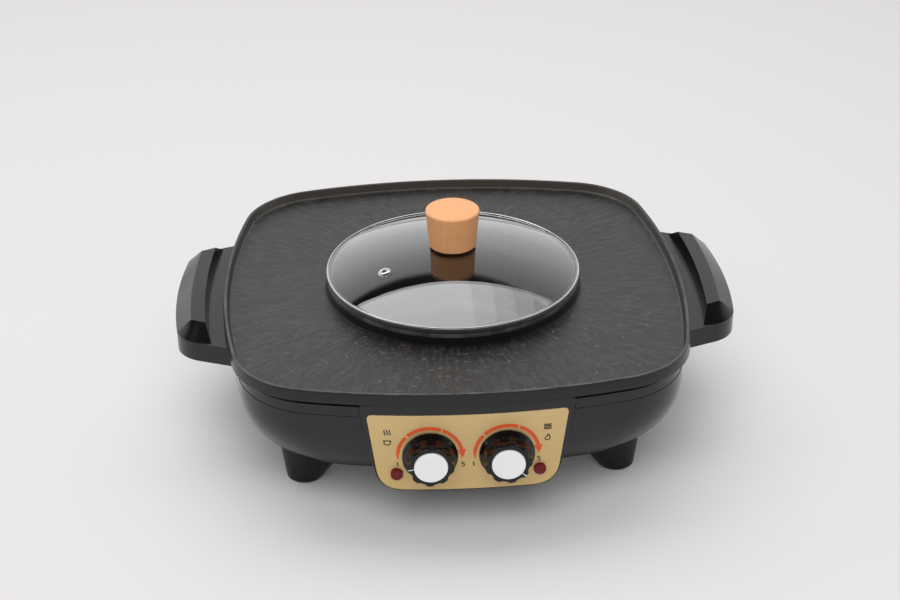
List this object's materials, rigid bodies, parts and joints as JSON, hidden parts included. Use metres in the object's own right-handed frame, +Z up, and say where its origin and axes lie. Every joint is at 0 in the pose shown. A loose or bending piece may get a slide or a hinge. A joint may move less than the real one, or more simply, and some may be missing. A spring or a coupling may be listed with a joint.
{
  "type": "electric hot pot with grill plate and glass lid",
  "caption": "Countertop electric hot pot: square grill plate round a deep pot well, loose domed glass lid with a wooden knob, side handles, moulded feet, dial controls on a front panel.",
  "frame": {"origin": "middle of the whole footprint, on the table plane under the rubber feet pads", "axes": "+Z up; +X to the cook's right along the line through both side handles, the longest extent; +Y away from the cook, so the control panel faces -Y and the mains inlet +Y"},
  "size_m": [0.436, 0.3728, 0.1834],
  "materials": {
    "black_plastic": "black heat-resistant plastic, satin gloss",
    "zinc_sheet": "zinc-plated steel sheet",
    "screw_steel": "plated steel",
    "brass_contact": "plain brass",
    "gold_plate": "champagne gold lacquered sheet, satin",
    "foot_plastic": "black moulded plastic, fine grain",
    "pad_rubber": "matt black rubber",
    "lamp_glass": "small glass bulb",
    "element_steel": "stainless tube, heat-tinted",
    "nonstick_coating": "matt non-stick coating on cast aluminium, fine scratched-stone relief",
    "shield_aluminium": "plain rolled aluminium sheet",
    "lens_red": "dark red transparent plastic",
    "socket_plastic": "black glass-filled nylon",
    "lead_insulation": "glass-braided silicone insulation",
    "cap_white": "white plastic, satin",
    "knob_plastic": "glossy black phenolic",
    "seal_silicone": "matt black silicone",
    "pointer_white": "white painted mark",
    "lid_glass": "clear tempered glass",
    "knob_wood": "light beech, clear matt lacquer",
    "rim_steel": "polished stainless steel",
    "ceramic": "unglazed steatite ceramic",
    "fuse_metal": "tinned can"
  },
  "bodies": {
    "cooker": {"base_shell": "black_plastic", "bottom_cover": "zinc_sheet", "box_screws": "screw_steel", "contact_blades": "brass_contact", "control_box": "black_plastic", "cover_screws": "screw_steel", "element_clamps": "zinc_sheet", "face_plate": "gold_plate", "foot_back_left": "foot_plastic", "foot_back_right": "foot_plastic", "foot_front_left": "foot_plastic", "foot_front_right": "foot_plastic", "foot_pads": "pad_rubber", "foot_screws": "screw_steel", "fuse_clip": "zinc_sheet", "glow_lamp_left": "lamp_glass", "glow_lamp_right": "lamp_glass", "grill_element": "element_steel", "grill_pan": "nonstick_coating", "handle_left": "black_plastic", "handle_right": "black_plastic", "handle_screws": "screw_steel", "heat_shield": "shield_aluminium", "indicator_lens_left": "lens_red", "indicator_lens_right": "lens_red", "inlet_pins": "brass_contact", "inlet_socket": "socket_plastic", "inner_leads": "lead_insulation", "pan_screws": "screw_steel", "reflector_screws": "screw_steel", "rim_seal": "seal_silicone", "terminal_block": "ceramic", "terminal_screws": "brass_contact", "thermal_fuse": "fuse_metal", "thermostat_body_left": "ceramic", "thermostat_body_right": "ceramic", "thermostat_bracket_left": "zinc_sheet", "thermostat_bracket_right": "zinc_sheet", "thermostat_screws": "screw_steel", "well_element": "element_steel", "well_reflector": "shield_aluminium"},
    "lid": {"lid_glass": "lid_glass", "lid_rim": "rim_steel", "steam_vent": "rim_steel", "lid_knob": "knob_wood", "knob_pads": "seal_silicone", "knob_washer": "screw_steel", "lid_knob_screw": "screw_steel"},
    "pot_dial": {"knob_left": "knob_plastic", "knob_cap_left": "cap_white", "knob_pointer_left": "pointer_white", "thermostat_shaft_left": "screw_steel"},
    "grill_dial": {"knob_right": "knob_plastic", "knob_cap_right": "cap_white", "knob_pointer_right": "pointer_white", "thermostat_shaft_right": "screw_steel"}
  },
  "joints": [
    {"name": "lid_lift", "type": "slide", "parent": "cooker", "child": "lid", "axis": [0, 0, 1], "range_m": [0, 0.15]},
    {"name": "pot_dial_turn", "type": "hinge", "parent": "cooker", "child": "pot_dial", "pos_m": [-0.0276, -0.17045, 0.0728], "axis": [0, -1, 0], "range_deg": [-227, 0]},
    {"name": "grill_dial_turn", "type": "hinge", "parent": "cooker", "child": "grill_dial", "pos_m": [0.0276, -0.17045, 0.0728], "axis": [0, -1, 0], "range_deg": [0, 227]}
  ]
}
